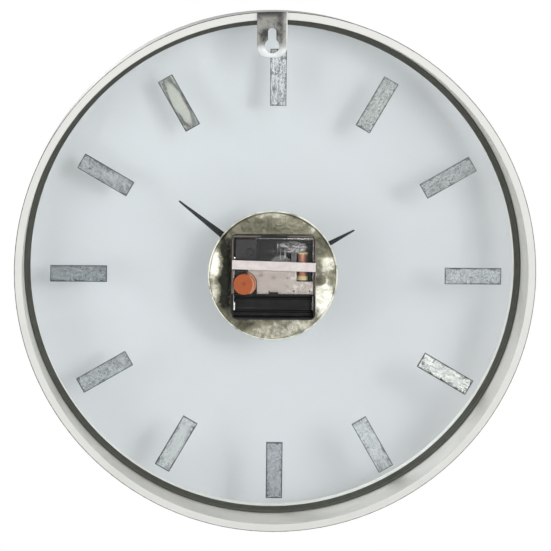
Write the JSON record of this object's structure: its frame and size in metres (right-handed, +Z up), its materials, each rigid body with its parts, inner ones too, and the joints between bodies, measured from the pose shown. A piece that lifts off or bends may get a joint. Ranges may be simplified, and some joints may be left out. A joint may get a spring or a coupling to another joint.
{
  "type": "glass wall clock",
  "caption": "Round wall clock with hands and bar hour marks on a clear pane in a deep metal hoop, seen from behind with its quartz movement on a metal disc.",
  "frame": {"origin": "on the hoop's axis, halfway between its front edge and the back of the tab", "axes": "+Z up with the clock hung; the front faces -Y and the wall side is +Y"},
  "size_m": [0.342, 0.065, 0.342],
  "materials": {
    "painted_hoop": "satin off-white paint with a bare grey edge",
    "clear_glass": "clear float glass with a faint blue tint",
    "black_rubber": "matt black bead",
    "worn_steel": "heat-stained worn sheet steel",
    "marker_metal": "brushed bars, dull backs",
    "clear_glue": "smeared clear adhesive",
    "disc_metal": "rough cast champagne metal",
    "brass": "turned brass",
    "washer_rubber": "matt rubber",
    "case_black": "moulded black, fine grain",
    "cover_clear": "clear moulded styrene",
    "label_paper": "pinkish paper strip, bare",
    "knob_orange": "moulded orange, satin",
    "plate_light": "light pinkish-grey moulding",
    "hands_black": "matt black lacquer",
    "wheel_white": "natural acetal",
    "wheel_dark": "dark grey acetal",
    "copper_wire": "enamelled copper wire",
    "bobbin_plastic": "yellowish moulding",
    "iron": "annealed motor iron",
    "magnet": "sintered ferrite",
    "board_dark": "dark solder mask",
    "chip_resin": "black resin dome",
    "tinned_metal": "tinned spring metal"
  },
  "bodies": {
    "clock_body": {"hoop": "painted_hoop", "glass_pane": "clear_glass", "glass_gasket": "black_rubber", "hanger_tab": "worn_steel", "hour_marker_01": "marker_metal", "hour_marker_02": "marker_metal", "hour_marker_03": "marker_metal", "hour_marker_04": "marker_metal", "hour_marker_05": "marker_metal", "hour_marker_06": "marker_metal", "hour_marker_07": "marker_metal", "hour_marker_08": "marker_metal", "hour_marker_09": "marker_metal", "hour_marker_10": "marker_metal", "hour_marker_11": "marker_metal", "hour_marker_12": "marker_metal", "marker_adhesive": "clear_glue", "hub_disc": "disc_metal", "centre_bush": "brass", "rubber_washer": "washer_rubber", "brass_washer": "brass", "hex_nut": "brass", "movement_case": "case_black", "clear_cover": "cover_clear", "label_strip": "label_paper", "middle_plate": "case_black", "train_bridge": "plate_light", "coil_bobbin": "bobbin_plastic", "coil_winding": "copper_wire", "coil_core": "iron", "stator": "iron", "circuit_board": "board_dark", "clock_chip": "chip_resin", "quartz_crystal": "tinned_metal", "contact_plus": "tinned_metal", "contact_minus": "tinned_metal"},
    "minute_work": {"minute_arbor": "brass", "minute_hand": "hands_black", "hand_nut": "brass"},
    "hour_work": {"hour_wheel": "wheel_white", "hour_hand": "hands_black"},
    "reverser": {"reverser_wheel": "wheel_white"},
    "knob": {"setting_knob": "knob_orange"},
    "intermediate": {"intermediate_wheel": "wheel_dark"},
    "rotor": {"rotor_pinion": "wheel_dark", "rotor_magnet": "magnet"},
    "seconds": {"seconds_wheel": "wheel_dark"},
    "third": {"third_wheel": "wheel_dark"},
    "centre": {"centre_wheel": "wheel_dark"}
  },
  "joints": [
    {"name": "minute_turn", "type": "hinge", "parent": "clock_body", "child": "minute_work", "pos_m": [0, -0.0297, -0.0058], "axis": [0, 1, 0], "continuous": true},
    {"name": "hour_turn", "type": "hinge", "parent": "clock_body", "child": "hour_work", "pos_m": [0, -0.0277, -0.0058], "axis": [0, 1, 0], "continuous": true},
    {"name": "reverser_turn", "type": "hinge", "parent": "clock_body", "child": "reverser", "pos_m": [0.00937, -0.01282, -0.00788], "axis": [0, 1, 0], "continuous": true},
    {"name": "knob_turn", "type": "hinge", "parent": "clock_body", "child": "knob", "pos_m": [0.01993, -0.0028, -0.0102], "axis": [0, 1, 0], "continuous": true},
    {"name": "intermediate_turn", "type": "hinge", "parent": "clock_body", "child": "intermediate", "pos_m": [-0.0049, -0.00727, 0.00114], "axis": [0, 1, 0], "continuous": true},
    {"name": "rotor_turn", "type": "hinge", "parent": "clock_body", "child": "rotor", "pos_m": [-0.00915, -0.00616, -0.00622], "axis": [0, 1, 0], "continuous": true},
    {"name": "seconds_turn", "type": "hinge", "parent": "clock_body", "child": "seconds", "pos_m": [0, -0.00838, -0.0058], "axis": [0, 1, 0], "continuous": true},
    {"name": "third_turn", "type": "hinge", "parent": "clock_body", "child": "third", "pos_m": [0.00833, -0.00949, -0.00412], "axis": [0, 1, 0], "continuous": true},
    {"name": "centre_turn", "type": "hinge", "parent": "clock_body", "child": "centre", "pos_m": [0, -0.0106, -0.0058], "axis": [0, 1, 0], "continuous": true}
  ],
  "couplings": [
    {"joint": "hour_turn", "follows": "minute_turn", "ratio": 0.083333},
    {"joint": "reverser_turn", "follows": "minute_turn", "ratio": -0.33333},
    {"joint": "knob_turn", "follows": "minute_turn", "ratio": 0.66667},
    {"joint": "rotor_turn", "follows": "intermediate_turn", "ratio": -7.5},
    {"joint": "seconds_turn", "follows": "intermediate_turn", "ratio": -0.25},
    {"joint": "third_turn", "follows": "intermediate_turn", "ratio": 0.03125},
    {"joint": "centre_turn", "follows": "intermediate_turn", "ratio": -0.0041667}
  ]
}
